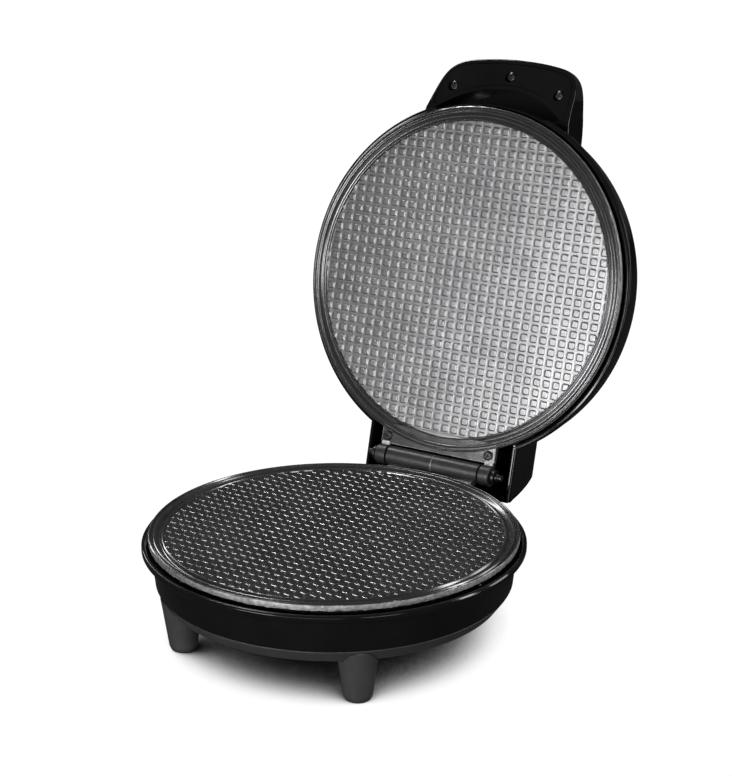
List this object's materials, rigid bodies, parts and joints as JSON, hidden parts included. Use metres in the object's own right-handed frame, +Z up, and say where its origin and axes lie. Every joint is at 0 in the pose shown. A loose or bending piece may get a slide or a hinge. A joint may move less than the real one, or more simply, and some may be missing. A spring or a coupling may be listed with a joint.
{
  "type": "waffle cone maker",
  "caption": "Round electric waffle cone maker on tapered feet, its hinged lid open to show two grid-patterned baking plates inside glossy black housings with a front handle.",
  "frame": {"origin": "middle of the open object's footprint, on the plane of the four feet", "axes": "+Z up, +Y from the user towards the hinge, +X to the user's right along the hinge axis"},
  "size_m": [0.2076, 0.309, 0.2831],
  "materials": {
    "gloss_black": "polished moulded black plastic with faint flow marks",
    "satin_grey": "satin dark grey moulded plastic",
    "coated_plate": "cast aluminium with a dark grey satin non-stick coating",
    "zinc_steel": "zinc plated",
    "dark_steel": "black oxide",
    "heater_sheath": "heat-tinted steel tube",
    "aluminised_sheet": "mill finish sheet",
    "ceramic_white": "glazed ceramic",
    "black_rubber": "matte",
    "red_lens": "clear tinted lens",
    "green_lens": "clear tinted lens",
    "lamp_glass": "clear glass"
  },
  "bodies": {
    "base": {"lower_plate": "coated_plate", "base_shell": "gloss_black", "plate_screw_right": "zinc_steel", "plate_screw_rear": "zinc_steel", "plate_screw_front": "zinc_steel", "bottom_cover": "satin_grey", "cover_screw_front": "zinc_steel", "cover_screw_right": "zinc_steel", "cover_screw_left": "zinc_steel", "foot_front_left": "satin_grey", "foot_front_right": "satin_grey", "foot_rear_left": "satin_grey", "foot_rear_right": "satin_grey", "lower_element": "heater_sheath", "lower_heat_shield": "aluminised_sheet", "lower_shield_screw_right": "zinc_steel", "lower_shield_screw_left": "zinc_steel", "thermostat": "aluminised_sheet", "lower_thermal_fuse": "aluminised_sheet", "terminal_block": "ceramic_white", "cord_gland": "black_rubber", "hinge_pin": "zinc_steel", "hinge_clip_right": "dark_steel", "hinge_clip_left": "dark_steel"},
    "lid": {"upper_plate": "coated_plate", "lid_shell": "gloss_black", "handle_cover": "gloss_black", "handle_screw_left": "dark_steel", "handle_screw_centre": "dark_steel", "handle_screw_right": "dark_steel", "web_screw_right": "dark_steel", "web_screw_left": "dark_steel", "upper_element": "heater_sheath", "upper_heat_shield": "aluminised_sheet", "upper_shield_screw_right": "zinc_steel", "upper_shield_screw_left": "zinc_steel", "upper_thermal_fuse": "aluminised_sheet", "power_lens": "red_lens", "ready_lens": "green_lens", "power_lamp": "lamp_glass", "ready_lamp": "lamp_glass"}
  },
  "joints": [
    {"name": "lid_hinge", "type": "hinge", "parent": "base", "child": "lid", "pos_m": [0, 0.05833, 0.06], "axis": [1, 0, 0], "range_deg": [0, 105]}
  ]
}
